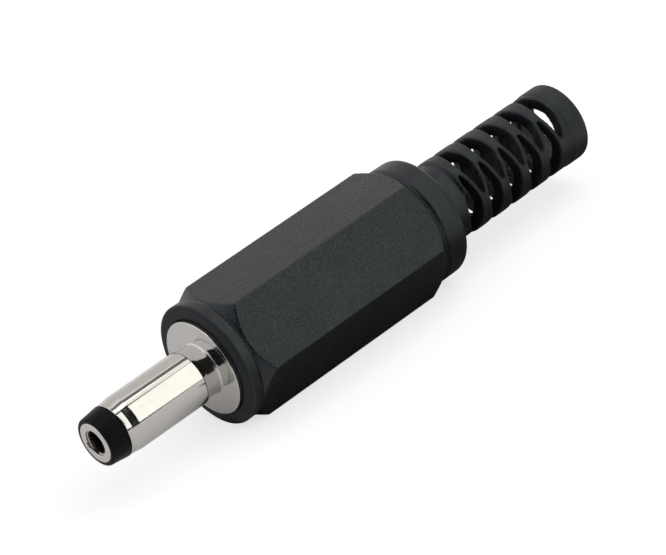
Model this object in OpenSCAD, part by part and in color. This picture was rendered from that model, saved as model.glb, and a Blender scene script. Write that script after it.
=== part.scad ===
// Cable-mount DC power plug: a 4.0 mm barrel with a 1.7 mm socket, in a screw-on hood with a strain relief.
// The X axis is the plug's axis and +X points out of the tip. The origin is on the axis, in the flange's
// front face, which meets the mating jack. +Z is up: the plug lies with one flat of its hood down.

/* [Barrel sleeve] */
// Outer diameter of the barrel
barrel_d = 4; // [3.8:0.05:4.3]
// Reach of the tip in front of the flange
barrel_l = 9.5; // [8:0.1:14]
// Bore of the sleeve, which holds the insulator
sleeve_bore_d = 3.4; // [3.3:0.02:3.5]
// Diameter of the lip at the barrel's front edge
lip_d = 3.9; // [3.8:0.02:3.98]
// Length over which the lip narrows
lip_l = 0.7; // [0.3:0.05:1.2]
// Diameter of the neck between barrel and flange
neck_d = 3.68; // [3.5:0.02:3.68]
// Length of the neck
neck_l = 0.92; // [0.6:0.02:1.6]
// Rounding of the barrel's rear edge
barrel_rear_round = 0.35; // [0.2:0.01:0.5]
// Fillet at the foot of the neck
neck_fillet = 0.18; // [0.16:0.01:0.3]
// Diameter of the flange
flange_d = 6.82; // [6.4:0.02:7.2]
// Thickness of the flange
flange_t = 1; // [0.6:0.05:1.6]
// Rounding of the flange's rims
flange_round = 0.06; // [0.03:0.01:0.15]
// Diameter of the threaded shank behind the flange
shank_d = 6; // [5.6:0.05:6.2]
// Length of the threaded shank
shank_l = 5; // [4:0.1:7]
// Chamfer at the shank's rear edge
shank_chamfer = 0.3; // [0.1:0.05:0.5]

/* [Nose insulator] */
// Length of the nose in front of the sleeve
nose_l = 1.5; // [1:0.05:2.5]
// Diameter of the nose where it meets the sleeve
nose_rear_d = 3.84; // [3.7:0.02:3.9]
// Diameter of the nose near its front, before the rounding
nose_front_d = 3.58; // [3.4:0.02:3.7]
// Rounding of the nose's front edge
nose_round = 0.2; // [0.1:0.01:0.22]
// Wall of the insulating tube inside the sleeve
insulator_wall = 0.4; // [0.3:0.02:0.42]
// Depth to which the rear insulator's spigot enters the sleeve
spigot_l = 1.5; // [0.8:0.1:2.5]

/* [Centre contact] */
// Bore of the socket, the diameter of the jack's pin hole
socket_d = 1.7; // [1.5:0.05:1.75]
// Depth of the socket behind the tip
socket_depth = 9; // [7:0.1:10]
// Diameter of the contact's rim at the tip
rim_d = 3.06; // [2.9:0.02:3.12]
// Thickness of the rim
rim_t = 0.4; // [0.25:0.05:0.8]
// Diameter of the mouth in the rim
mouth_d = 1.88; // [1.8:0.02:1.94]
// Thickness of the edge rolled in at the mouth
mouth_lip_t = 0.1; // [0.06:0.01:0.2]
// Wall of the spring tube that lines the socket
spring_t = 0.15; // [0.1:0.01:0.18]
// Width of the slit in the spring tube
slit_w = 0.6; // [0.3:0.05:0.9]
// Diameter of the stem that runs back to the terminals
stem_d = 1.6; // [1.2:0.05:1.9]
// Diameter of the riveted head at the stem's end
rivet_d = 2.6; // [2.2:0.05:2.8]
// Thickness of the riveted head
rivet_t = 0.5; // [0.3:0.05:0.8]

/* [Terminals] */
// Thickness of the terminal sheet
lug_t = 0.4; // [0.3:0.02:0.5]
// Diameter of the ground terminal's ring
ground_ring_d = 5.5; // [4.6:0.05:5.6]
// Width of the ground terminal's strap
ground_strap_w = 2.4; // [1.6:0.1:2.6]
// Length of the ground terminal behind its ring
ground_l = 11.1; // [9.5:0.1:12]
// Inner diameter of the cable clamp
clamp_d = 4.2; // [3.6:0.05:4.3]
// Length of the cable clamp
clamp_l = 3; // [2:0.1:4]
// Opening of the cable clamp, in degrees
clamp_open = 110; // [80:5:160]
// Diameter of the ground terminal's solder hole
ground_hole_d = 1.1; // [0.8:0.05:1.4]
// Thickness of the rear insulator
washer_t = 0.6; // [0.4:0.05:1]
// Width of the centre terminal
centre_lug_w = 1.7; // [1.3:0.1:2.2]
// Length of the centre terminal behind the rear insulator
centre_lug_l = 4.4; // [3.5:0.1:5]
// Diameter of the centre terminal's solder hole
centre_hole_d = 0.8; // [0.5:0.05:1]

/* [Hood] */
// Length of the hood
hood_l = 34; // [33:0.5:44]
// Height by which the flange stands out of the hood
flange_proud = 0.3; // [0.1:0.05:0.5]
// Width across the flats of the grip
grip_flats = 8.68; // [8.4:0.02:9.4]
// Diameter of the round ring in front of the grip
ring_d = 8.66; // [8.3:0.02:9.2]
// Length of the front ring
ring_l = 1; // [0.6:0.05:2]
// Rounding of the front ring's edge
ring_round = 0.35; // [0.1:0.05:0.45]
// Length of the grip, flats included
grip_l = 17.6; // [14:0.1:24]
// Depth of the step between ring, grip and collar
grip_step = 0.15; // [0.05:0.01:0.3]
// Slope of the grip's end chamfers
chamfer_angle = 42; // [30:1:55]
// Diameter of the round collar behind the grip
collar_d = 8.62; // [8.2:0.02:9.2]
// Length of the collar
collar_l = 1.85; // [1.2:0.05:3]
// Rounding of the collar's rear edge
collar_round = 0.4; // [0.1:0.05:0.8]

/* [Strain relief] */
// Bore for the cable inside the ribs
cable_bore_d = 4.1; // [3.6:0.05:4.1]
// Bore of the end ring, where the cable leaves
exit_bore_d = 4.5; // [4.4:0.05:5]
// Diameter of the smooth neck behind the collar
relief_neck_d = 5.66; // [5.5:0.02:5.8]
// Diameter of the ribs at the front
rib_front_d = 6; // [5.8:0.02:6.2]
// Diameter of the ribs at the rear
rib_rear_d = 5.84; // [5.7:0.02:6.1]
// Distance of the first slot's middle behind the collar
first_slot = 2.42; // [2.2:0.02:4]
// Number of slots on each side
slot_count = 5; // [3:1:6]
// Distance between the slots of one side
slot_pitch = 1.98; // [1.8:0.02:2.2]
// Width of a slot at the outside of the ribs
slot_w = 1.24; // [1:0.02:1.4]
// Width of a slot at its waist, level with the axis
slot_waist = 0.36; // [0.24:0.02:0.8]
// Height above the waist at which a slot has its full width
slot_rise = 2.2; // [1.4:0.1:2.8]
// Reach of a slot's tip past the axis
slot_tip = 1; // [0.7:0.02:1.3]
// Width of a slot's blunt tip
slot_tip_w = 0.2; // [0.1:0.02:0.3]
// Thickness of the webs between slots from opposite sides
web_t = 0.22; // [0.16:0.02:0.4]
// Diameter of the end ring
end_ring_d = 5.94; // [5.7:0.02:6.2]
// Length of the end ring
end_ring_l = 1.4; // [1:0.05:2.5]
// Rounding of the end ring's rear edges
end_ring_round = 0.2; // [0.1:0.02:0.3]
// Solid length between the last slot and the end ring
end_land = 0.1; // [0.05:0.05:1]

/* [Clearances] */
// Radial gap between pieces that are pressed or clamped together
fit_gap = 0.02; // [0.01:0.005:0.04]
// Gap between the rear insulator and the ground terminal's strap
strap_gap = 0.1; // [0.05:0.01:0.3]
// Radial gap between the shank and the hood's bore
thread_gap = 0.05; // [0.02:0.01:0.1]
// Radial gap round the flange in the hood
flange_gap = 0.08; // [0.05:0.01:0.15]
// Gap between the cable clamp and the end of the hood's chamber
chamber_gap = 0.8; // [0.4:0.1:2]
// Length of the funnel from the chamber to the cable bore
funnel_l = 1; // [0.5:0.1:2]

/* [Hidden] */
$fn = 72;

// Cutters run past the faces that they cut by this much
over = 1;

// Stations along the axis, from tip to cable
x_tip = barrel_l;
x_sleeve = x_tip - nose_l;
x_rim = x_tip - rim_t;
x_socket = x_tip - socket_depth;
x_spring = x_tip - mouth_lip_t - fit_gap;
x_hood = -flange_proud;
x_seat = -flange_t;
x_shank = x_seat - shank_l;
x_tube_end = x_shank + spigot_l + fit_gap;
x_washer = x_shank - lug_t;
x_centre_lug = x_washer - washer_t;
x_rivet = x_centre_lug - lug_t;
x_stem = x_rivet - rivet_t;
x_clamp_end = x_washer - ground_l;
x_chamber = x_clamp_end - chamber_gap;
x_grip = x_hood - ring_l;
x_collar = x_grip - grip_l;
x_relief = x_collar - collar_l;
x_tail = x_hood - hood_l;
x_end_ring = x_tail + end_ring_l;
x_slots_end = x_end_ring + end_land;

// Radii
barrel_r = barrel_d / 2;
neck_r = neck_d / 2;
flange_r = flange_d / 2;
shank_r = shank_d / 2;
sleeve_bore_r = sleeve_bore_d / 2;
insulator_r = sleeve_bore_r - fit_gap;
insulator_bore_r = insulator_r - insulator_wall;
contact_r = insulator_bore_r - fit_gap;
rim_r = rim_d / 2;
socket_r = socket_d / 2;
spring_r = socket_r + spring_t;
pocket_r = spring_r + fit_gap;
stem_r = stem_d / 2;
stem_hole_r = stem_r + fit_gap;
spigot_r = insulator_r;
ground_r = ground_ring_d / 2;
clamp_r = clamp_d / 2;
washer_r = clamp_r - strap_gap;
chamber_r = shank_r + thread_gap;
counterbore_r = flange_r + flange_gap;
cable_r = cable_bore_d / 2;
exit_r = exit_bore_d / 2;
neck_relief_r = relief_neck_d / 2;
end_ring_r = end_ring_d / 2;
// The chamfer cones of the grip start this far inside the flats
grip_foot_r = grip_flats / 2 - grip_step / 2;
grip_corner_r = grip_flats / 2 / cos(30);
// The lug of the centre terminal passes above the riveted head
centre_lug_z = rivet_d / 2 + fit_gap;

// Turn of the relief about the axis: its webs are in line with a flat that faces up and to the side
relief_turn = -60;
// Half the width that a slot gains for each millimetre from its tip
slot_slope = (slot_pitch / 2 - web_t - slot_tip_w) / (2 * slot_tip - slot_tip_w);
slot_tip_y = slot_tip - slot_tip_w / 2;
slot_shoulder = slot_tip_y - (slot_w - slot_tip_w) / 2 / slot_slope;
x_first_slot = x_relief - first_slot;
x_ribs = x_first_slot + slot_pitch / 2 - slot_w / 2;
slot_reach = rib_front_d / 2 + over;

// Stands a drawing or a turned profile on the plug's axis, with its own Z along +X
module along_axis() rotate([90, 0, 90]) children();

// Turns a profile of [radius, station] points about the plug's axis
module turned() along_axis() rotate_extrude() children();

// Cylinder from one station to another
module rod(r, x_from, x_to) translate([x_from, 0, 0]) along_axis() cylinder(r = r, h = x_to - x_from);

// What a rounding takes off an outer corner at [r, x]; side is 1 where the corner is the profile's +X end
module corner_waste(r, x, round, side)
    translate([r - round, x - side * round]) difference() {
        translate([0, side > 0 ? 0 : -round - over]) square(round + over);
        circle(round);
    }

// What a fillet adds in an inner corner at [r, x], in front of a face that looks along +X
module fillet_web(r, x, round)
    translate([r, x]) difference() {
        square(round);
        translate([round, round]) circle(round);
    }

// Turned sleeve: lip, barrel, neck, flange and the shank that the hood screws onto
module barrel_sleeve() color("silver") turned() difference() {
    union() {
        difference() {
            polygon([[0, neck_l], [barrel_r, neck_l], [barrel_r, x_sleeve - lip_l],
                     [lip_d / 2, x_sleeve], [0, x_sleeve]]);
            corner_waste(barrel_r, neck_l, barrel_rear_round, -1);
        }
        translate([0, -over / 2]) square([neck_r, neck_l + over]);
        fillet_web(neck_r, 0, neck_fillet);
        difference() {
            translate([0, x_seat]) square([flange_r, flange_t]);
            corner_waste(flange_r, 0, flange_round, 1);
            corner_waste(flange_r, x_seat, flange_round, -1);
        }
        polygon([[0, x_shank], [shank_r - shank_chamfer, x_shank], [shank_r, x_shank + shank_chamfer],
                 [shank_r, x_seat + over / 2], [0, x_seat + over / 2]]);
    }
    translate([0, x_shank - over]) square([sleeve_bore_r, x_sleeve - x_shank + 2 * over]);
}

// Moulded nose with the tube that keeps the centre contact off the sleeve
module nose_insulator() color("#17171a") turned() difference() {
    union() {
        difference() {
            polygon([[0, x_sleeve], [nose_rear_d / 2, x_sleeve], [nose_front_d / 2, x_tip], [0, x_tip]]);
            corner_waste(nose_front_d / 2, x_tip, nose_round, 1);
        }
        translate([0, x_tube_end]) square([insulator_r, x_sleeve - x_tube_end + over / 2]);
    }
    translate([0, x_tube_end - over]) square([insulator_bore_r, x_tip - x_tube_end + 2 * over]);
    translate([0, x_rim]) square([rim_r + fit_gap, rim_t + over]);
}

// Turned centre contact: rim, socket tube and the stem that is riveted over the terminals
module centre_contact() color("gainsboro") turned() difference() {
    union() {
        translate([0, x_rim]) square([rim_r, rim_t]);
        translate([0, x_socket - rim_t]) square([contact_r, x_rim - x_socket + rim_t + over / 4]);
        translate([0, x_rivet]) square([stem_r, x_socket - x_rivet]);
        translate([0, x_stem]) square([rivet_d / 2, rivet_t]);
    }
    translate([0, x_socket]) square([pocket_r, socket_depth - mouth_lip_t]);
    translate([0, x_socket]) square([mouth_d / 2, socket_depth + over]);
}

// Rolled spring tube that grips the jack's pin, split along the side that faces away and down
module contact_spring() color("gainsboro") rotate([relief_turn, 0, 0]) difference() {
    rod(spring_r, x_socket, x_spring);
    rod(socket_r, x_socket - over, x_spring + over);
    translate([x_socket - over, -slit_w / 2, -spring_r - over])
        cube([socket_depth + 2 * over, slit_w, spring_r + over]);
}

// Insulating washer with a spigot, between the two terminals
module rear_insulator() color("#5a3a22") difference() {
    union() {
        rod(washer_r, x_centre_lug, x_washer);
        rod(spigot_r, x_centre_lug, x_shank + spigot_l);
    }
    rod(stem_hole_r, x_centre_lug - over, x_shank + spigot_l + over);
}

// Stamped lug under the riveted head, bent back above it
module centre_terminal() color("lightgray") difference() {
    union() {
        translate([x_rivet, 0, 0]) along_axis() linear_extrude(lug_t) {
            circle(centre_lug_z);
            translate([-centre_lug_w / 2, 0]) square([centre_lug_w, centre_lug_z + lug_t]);
        }
        translate([x_washer - centre_lug_l - washer_t + centre_lug_w / 2, 0, centre_lug_z]) {
            cylinder(d = centre_lug_w, h = lug_t);
            translate([0, -centre_lug_w / 2, 0])
                cube([centre_lug_l - centre_lug_w / 2, centre_lug_w, lug_t]);
        }
    }
    rod(stem_hole_r, x_rivet - over, x_centre_lug + over);
    translate([x_washer - centre_lug_l - washer_t + centre_lug_w / 2, 0, 0])
        cylinder(d = centre_hole_d, h = centre_lug_z + lug_t + over);
}

// Stamped ring and strap, with the open clamp that is squeezed over the cable
module ground_terminal() color("lightgray") difference() {
    union() {
        difference() {
            rod(ground_r, x_washer, x_shank);
            rod(spigot_r + fit_gap, x_washer - over, x_shank + over);
        }
        translate([x_clamp_end, -ground_strap_w / 2, -clamp_r - lug_t])
            cube([x_shank - x_clamp_end, ground_strap_w, lug_t]);
        translate([x_clamp_end, 0, 0]) along_axis()
            rotate(90 + clamp_open / 2) rotate_extrude(angle = 360 - clamp_open)
                translate([clamp_r, 0]) square([lug_t, clamp_l]);
    }
    translate([(x_washer + x_clamp_end + clamp_l) / 2, 0, -clamp_r - lug_t - over])
        cylinder(d = ground_hole_d, h = lug_t + 2 * over);
}

// Outline of the grip's flats
module grip_outline() circle(r = grip_corner_r, $fn = 6);

// Six-sided grip whose corners are chamfered like a nut's
module grip() intersection() {
    translate([x_collar, 0, 0]) along_axis() linear_extrude(grip_l) grip_outline();
    turned() polygon([[0, x_collar], [grip_foot_r, x_collar],
        [grip_corner_r + over, x_collar + (grip_corner_r + over - grip_foot_r) / tan(chamfer_angle)],
        [grip_corner_r + over, x_grip - (grip_corner_r + over - grip_foot_r) / tan(chamfer_angle)],
        [grip_foot_r, x_grip], [0, x_grip]]);
}

// Round ring in front of the grip and round collar behind it
module hood_rounds() turned() {
    difference() {
        translate([0, x_grip]) square([ring_d / 2, ring_l]);
        corner_waste(ring_d / 2, x_hood, ring_round, 1);
    }
    difference() {
        translate([0, x_relief]) square([collar_d / 2, collar_l]);
        corner_waste(collar_d / 2, x_relief, collar_round, -1);
    }
}

// Outline of a slot across the axis: a wedge with a round tip, open on the side that side gives
module slot_wedge(side) {
    polygon([for (point = [[slot_tip_w / 2, slot_tip_y], [slot_w / 2, slot_shoulder],
                           [slot_w / 2, -slot_reach], [-slot_w / 2, -slot_reach],
                           [-slot_w / 2, slot_shoulder], [-slot_tip_w / 2, slot_tip_y]])
             [point[0], side * point[1]]]);
    translate([0, side * slot_tip_y]) circle(d = slot_tip_w);
}

// Outline of a slot along the axis: slim at the waist, and flared above and below it to the full width
module slot_waisted() polygon([[slot_waist / 2, 0], [slot_w / 2, slot_rise], [slot_w / 2, slot_reach],
    [-slot_w / 2, slot_reach], [-slot_w / 2, slot_rise], [-slot_waist / 2, 0], [-slot_w / 2, -slot_rise],
    [-slot_w / 2, -slot_reach], [slot_w / 2, -slot_reach], [slot_w / 2, -slot_rise]]);

// One slot: the wedge, as far as its waist leaves it open
module slot(x, side) translate([x, 0, 0]) intersection() {
    linear_extrude(2 * slot_reach, center = true) slot_wedge(side);
    rotate([90, 0, 0]) linear_extrude(2 * slot_reach, center = true) slot_waisted();
}

// Slots from the two sides in turn, half a pitch apart, which end at the solid land before the end ring
module slots() intersection() {
    union() for (i = [0 : slot_count - 1]) {
        slot(x_first_slot - i * slot_pitch, -1);
        slot(x_first_slot - (i + 0.5) * slot_pitch, 1);
    }
    rod(slot_reach, x_slots_end, x_collar);
}

// Ribs: a slim cone from the first rib back to the end ring
module rib_body() translate([x_end_ring, 0, 0]) along_axis()
    cylinder(r1 = rib_rear_d / 2, r2 = rib_front_d / 2, h = x_ribs - x_end_ring);

// Smooth neck, ribs and end ring, with the slots cut through them
module strain_relief() rotate([relief_turn, 0, 0]) difference() {
    union() {
        rod(neck_relief_r, x_end_ring, x_relief + over / 4);
        rib_body();
        turned() difference() {
            translate([0, x_tail]) square([end_ring_r, end_ring_l]);
            corner_waste(end_ring_r, x_tail, end_ring_round, -1);
        }
    }
    slots();
}

// Stepped bore: flange seat, thread, chamber for the terminals, funnel and cable bore
module hood_bore() turned() polygon([[0, x_hood + over], [counterbore_r, x_hood + over],
    [counterbore_r, x_seat], [chamber_r, x_seat], [chamber_r, x_chamber], [cable_r, x_chamber - funnel_l],
    [cable_r, x_slots_end], [exit_r, x_slots_end], [exit_r, x_tail + end_ring_round],
    [exit_r + end_ring_round, x_tail], [exit_r + end_ring_round, x_tail - over], [0, x_tail - over]]);

// Moulded hood: front ring, grip, collar and strain relief in one piece
module hood() color("#1c1c1f") difference() {
    union() {
        grip();
        hood_rounds();
        strain_relief();
    }
    hood_bore();
}

hood();
barrel_sleeve();
nose_insulator();
centre_contact();
contact_spring();
rear_insulator();
centre_terminal();
ground_terminal();
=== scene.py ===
"""Looks of a cable-mount DC power plug: plated barrel, black six-sided hood and slotted strain relief.

Pieces are modelled in millimetres round the plug's axis, X, and scaled to metres when they are finished.
"""
import math

import bpy
from mathutils import Matrix, Vector


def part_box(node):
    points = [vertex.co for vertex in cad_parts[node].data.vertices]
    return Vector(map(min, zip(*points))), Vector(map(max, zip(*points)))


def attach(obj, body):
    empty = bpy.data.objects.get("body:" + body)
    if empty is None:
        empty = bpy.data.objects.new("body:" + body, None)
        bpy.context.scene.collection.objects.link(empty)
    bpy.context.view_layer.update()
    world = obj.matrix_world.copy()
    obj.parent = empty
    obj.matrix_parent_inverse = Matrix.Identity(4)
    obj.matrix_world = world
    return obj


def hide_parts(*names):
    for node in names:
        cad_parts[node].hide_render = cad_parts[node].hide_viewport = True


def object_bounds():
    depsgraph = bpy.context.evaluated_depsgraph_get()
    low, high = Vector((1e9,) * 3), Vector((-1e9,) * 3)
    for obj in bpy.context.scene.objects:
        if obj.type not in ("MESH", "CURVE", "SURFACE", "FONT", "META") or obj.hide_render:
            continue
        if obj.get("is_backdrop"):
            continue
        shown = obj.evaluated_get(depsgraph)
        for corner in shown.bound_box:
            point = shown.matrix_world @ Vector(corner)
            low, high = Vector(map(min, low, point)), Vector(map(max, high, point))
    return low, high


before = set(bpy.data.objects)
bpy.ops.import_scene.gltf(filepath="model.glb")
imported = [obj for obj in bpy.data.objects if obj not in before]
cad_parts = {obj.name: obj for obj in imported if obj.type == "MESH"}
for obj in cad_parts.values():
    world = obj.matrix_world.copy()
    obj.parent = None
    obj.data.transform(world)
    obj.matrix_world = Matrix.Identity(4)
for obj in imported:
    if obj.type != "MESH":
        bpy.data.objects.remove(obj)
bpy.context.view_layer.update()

bl_info = {
    "name": "DC power plug",
    "version": (1, 0, 0),
    "blender": (4, 5, 0),
    "location": "View3D > Sidebar > Plug",
    "description": "Models and finishes a cable-mount DC power plug over its packed solids",
    "category": "Mesh",
}

HOOD_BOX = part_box("hood")
SLEEVE_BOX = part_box("barrel_sleeve")
TIP_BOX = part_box("centre_contact")
MM = 0.001
FULL_TURN = 2 * math.pi
TURN_STEPS = 144
ARC_STEP = math.radians(15)
MERGE_GAP = 0.0005
SLOT_TURN = math.radians(-60)

# Where one finish fades into another, from none to full: metres along the axis, or from it
GRIP_REAR, GRIP_FRONT, GRIP_RADIUS = (-0.0191, -0.0185), (-0.0009, -0.0015), (0.0041, 0.0042)
HOOD_FACE = (HOOD_BOX[1].x - 0.00026, HOOD_BOX[1].x - 0.00008)
RIBS = (-0.0223, -0.0229)
BORE_RADIUS, BORE_THREAD = (0.0032, 0.0031), (-0.0072, -0.0068)
# The inside of the contact's socket, where the painted shade fades in: metres from the axis, then along
# it
SOCKET_SHADE_RADIUS, SOCKET_SHADE_MOUTH = (0.00104, 0.00101), (0.0092, 0.0087)


def length(name, description, millimetres):
    """A size that the user can change, given in millimetres and kept in metres."""
    return bpy.props.FloatProperty(
        name=name, description=description, default=millimetres * MM, min=0, precision=5,
        subtype="DISTANCE", unit="LENGTH")


def colour(name, description, value):
    """A linear colour that the user can change."""
    return bpy.props.FloatVectorProperty(
        name=name, description=description, default=value, size=3, min=0, max=1, subtype="COLOR")


class PlugSizes(bpy.types.PropertyGroup):
    """Sizes of the plug's pieces."""
    barrel_d: length("Barrel", "Outer diameter of the barrel", 4.0)
    lip_d: length("Lip", "Diameter of the band at the barrel's front edge", 3.83)
    neck_d: length("Neck", "Diameter of the neck between barrel and flange", 3.68)
    flange_d: length("Flange", "Diameter of the flange", 7.0)
    shank_d: length("Shank", "Outer diameter of the threaded shank", 6.0)
    thread_pitch: length("Thread pitch", "Distance between the thread's crests", 0.5)
    thread_depth: length("Thread depth", "Height of the thread's crests over its root", 0.24)
    nose_rear_d: length("Nose rear", "Diameter of the nose at the sleeve", 3.84)
    nose_front_d: length("Nose front", "Diameter of the nose at the tip", 3.52)
    rim_d: length("Rim", "Diameter of the contact's rim at the tip", 2.94)
    mouth_d: length("Mouth", "Diameter of the mouth in the rim", 1.88)
    socket_d: length("Socket", "Bore of the spring tube", 1.7)
    slit_w: length("Slit", "Width of the slit in the spring tube", 0.6)
    grip_flats: length("Grip flats", "Width of the grip across its flats", 8.76)
    ring_d: length("Front ring", "Diameter of the hood's front ring", 9.02)
    collar_d: length("Collar", "Diameter of the collar behind the grip", 8.95)
    relief_neck_d: length("Relief neck", "Diameter of the smooth neck behind the collar", 5.66)
    rib_front_d: length("First rib", "Diameter of the ribs at the front", 6.0)
    rib_rear_d: length("Last rib", "Diameter of the ribs at the rear", 5.84)
    end_ring_d: length("End ring", "Diameter of the ring at the cable's exit", 5.94)
    slot_w: length("Slot", "Width of a slot at the outside of the ribs", 1.14)
    slot_waist: length("Slot waist", "Width of a slot level with the axis", 0.26)
    slot_pitch: length("Slot pitch", "Distance between the slots of one side", 1.98)
    hood_voxel: length("Hood resolution", "Voxel size that melts the hood into one moulding", 0.075)
    sheet_edge: length("Sheet edge", "Width of the worn edge on the stamped terminals", 0.05)


class PlugColours(bpy.types.PropertyGroup):
    """Colours of the plug's finishes."""
    hood: colour("Hood", "Black moulded plastic of the hood", (0.0060, 0.0072, 0.0080))
    nose: colour("Nose", "Black moulded plastic of the nose", (0.005, 0.005, 0.006))
    nickel: colour("Nickel", "Bright plating of the sleeve", (0.63, 0.627, 0.612))
    contact: colour("Contact", "Bright plating of the centre contact", (0.66, 0.655, 0.64))
    spring: colour("Spring", "Plated bronze of the spring tube", (0.66, 0.63, 0.55))
    fibre: colour("Fibre", "Brown insulating board", (0.16, 0.075, 0.035))
    tin: colour("Tin", "Satin plating of the stamped terminals", (0.70, 0.70, 0.68))


def mm(value):
    """A property's metres as the millimetres that the pieces are modelled in."""
    return value / MM


def deselect_all():
    """Leaves edit mode and deselects everything, the CAD nodes too."""
    if bpy.context.object and bpy.context.object.mode != "OBJECT":
        bpy.ops.object.mode_set(mode="OBJECT")
    bpy.ops.object.select_all(action="DESELECT")


def activate(obj):
    """Selects one object alone."""
    deselect_all()
    obj.select_set(True)
    bpy.context.view_layer.objects.active = obj


def edit(obj):
    """Opens an object in edit mode with all of its mesh selected."""
    activate(obj)
    bpy.ops.object.mode_set(mode="EDIT")
    bpy.ops.mesh.select_mode(type="VERT")
    bpy.ops.mesh.select_all(action="SELECT")


def select_where(obj, kind, wanted):
    """In edit mode, selects the points (kind VERT) or faces (kind FACE) that pass the test."""
    bpy.ops.mesh.select_mode(type=kind)
    bpy.ops.mesh.select_all(action="DESELECT")
    bpy.ops.object.mode_set(mode="OBJECT")
    for item in obj.data.vertices if kind == "VERT" else obj.data.polygons:
        item.select = wanted(item)
    bpy.ops.object.mode_set(mode="EDIT")


def close_mesh():
    """In edit mode, merges doubled points and turns all faces outwards."""
    bpy.ops.mesh.select_all(action="SELECT")
    bpy.ops.mesh.remove_doubles(threshold=MERGE_GAP)
    bpy.ops.mesh.normals_make_consistent(inside=False)


def rounded(corners):
    """Points of a closed outline given as (station, radius, rounding) corners."""
    points = []
    for i, (x, r, rounding) in enumerate(corners):
        here = Vector((x, r))
        if not rounding:
            points.append(here)
            continue
        back = (Vector(corners[i - 1][:2]) - here).normalized()
        ahead = (Vector(corners[(i + 1) % len(corners)][:2]) - here).normalized()
        half = back.angle(ahead) / 2
        centre = here + (back + ahead).normalized() * (rounding / math.sin(half))
        start = here + back * (rounding / math.tan(half)) - centre
        end = here + ahead * (rounding / math.tan(half)) - centre
        first = math.atan2(start.y, start.x)
        sweep = math.remainder(math.atan2(end.y, end.x) - first, FULL_TURN)
        steps = max(2, math.ceil(abs(sweep) / ARC_STEP))
        for k in range(steps + 1):
            angle = first + sweep * k / steps
            points.append(centre + rounding * Vector((math.cos(angle), math.sin(angle))))
    return points


def turned(name, corners, turn=FULL_TURN, start=0.0):
    """Draws an outline by extruding one point along it, and spins it about the plug's axis."""
    points = rounded(corners)
    deselect_all()
    bpy.ops.mesh.primitive_plane_add(size=1)
    obj = bpy.context.object
    obj.name = obj.data.name = name
    edit(obj)
    bpy.ops.mesh.merge(type="CENTER")
    bpy.ops.transform.translate(value=(points[0].x, 0, points[0].y))
    for here, there in zip(points, points[1:] + points[:1]):
        bpy.ops.mesh.extrude_region_move(
            TRANSFORM_OT_translate={"value": (there.x - here.x, 0, there.y - here.y)})
    bpy.ops.mesh.select_all(action="SELECT")
    bpy.ops.mesh.remove_doubles(threshold=MERGE_GAP)
    if turn < FULL_TURN:
        bpy.ops.mesh.edge_face_add()
    bpy.ops.mesh.spin(steps=TURN_STEPS, angle=turn, center=(0, 0, 0), axis=(1, 0, 0))
    close_mesh()
    bpy.ops.object.mode_set(mode="OBJECT")
    if start:
        obj.rotation_euler.x = start
        bpy.ops.object.transform_apply(location=True, rotation=True, scale=True)
    return obj


def modified(obj, kind, **settings):
    """Adds a modifier with these settings and applies it."""
    activate(obj)
    bpy.ops.object.modifier_add(type=kind)
    modifier = obj.modifiers[-1]
    for key, value in settings.items():
        setattr(modifier, key, value)
    bpy.ops.object.modifier_apply(modifier=modifier.name)


def combined(obj, tool, operation):
    """Unites, cuts or intersects an object with a tool, which is used up."""
    modified(obj, "BOOLEAN", operation=operation, solver="EXACT", object=tool)
    bpy.data.objects.remove(tool)
    if not obj.data.polygons:
        raise RuntimeError(f"{obj.name} lost its mesh to a {operation.lower()} tool")
    return obj


def joined(obj, others):
    """Joins other objects into the first."""
    activate(obj)
    for other in others:
        other.select_set(True)
    bpy.ops.object.join()
    return obj


def copy_of_node(node, name):
    """A merged copy of a CAD node, in millimetres, with its flat faces made whole."""
    deselect_all()
    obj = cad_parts[node].copy()
    obj.data = obj.data.copy()
    obj.name = obj.data.name = name
    obj.parent = None
    for key in list(obj.keys()):
        del obj[key]
    bpy.context.scene.collection.objects.link(obj)
    obj.data.materials.clear()
    edit(obj)
    bpy.ops.transform.resize(value=(1 / MM,) * 3, center_override=(0, 0, 0))
    close_mesh()
    bpy.ops.mesh.dissolve_limited(angle_limit=math.radians(0.5))
    bpy.ops.object.mode_set(mode="OBJECT")
    return obj


def finished(obj, material, body, node, slot, smooth_angle=30):
    """Scales a piece to metres, shades it, gives it its finish and body, and hides the CAD node that it
    replaces.
    """
    edit(obj)
    bpy.ops.transform.resize(value=(MM,) * 3, center_override=(0, 0, 0))
    bpy.ops.object.mode_set(mode="OBJECT")
    bpy.ops.object.shade_smooth_by_angle(angle=math.radians(smooth_angle))
    obj.data.materials.clear()
    obj.data.materials.append(material)
    if not obj.data.polygons:
        raise RuntimeError(f"{obj.name} has no faces")
    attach(obj, body)
    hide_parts(node)
    deselect_all()


def new_material(name):
    """An empty material with its shader, and the shader's tree."""
    material = bpy.data.materials.get(name)
    if material:
        bpy.data.materials.remove(material)
    material = bpy.data.materials.new(name)
    material.use_nodes = True
    return material, material.node_tree, material.node_tree.nodes["Principled BSDF"]


def put(tree, kind, settings=None, **sockets):
    """Adds a node; sockets take a value or another node's output."""
    node = tree.nodes.new(kind)
    for key, value in (settings or {}).items():
        setattr(node, key, value)
    for key, value in sockets.items():
        wire(tree, node, key.replace("_", " "), value)
    return node


def wire(tree, node, socket, value):
    """Sets one input of a node, or links an output to it."""
    target = node.inputs[socket]
    if isinstance(value, bpy.types.NodeSocket):
        tree.links.new(value, target)
    else:
        target.default_value = value


def calc(tree, operation, first, second=0.0, clamp=False):
    """One step of arithmetic."""
    node = put(tree, "ShaderNodeMath", {"operation": operation, "use_clamp": clamp})
    wire(tree, node, 0, first)
    wire(tree, node, 1, second)
    return node.outputs[0]


def times(tree, first, second):
    """The product of two values."""
    return calc(tree, "MULTIPLY", first, second)


def plus(tree, first, second, clamp=False):
    """The sum of two values."""
    return calc(tree, "ADD", first, second, clamp)


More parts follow.
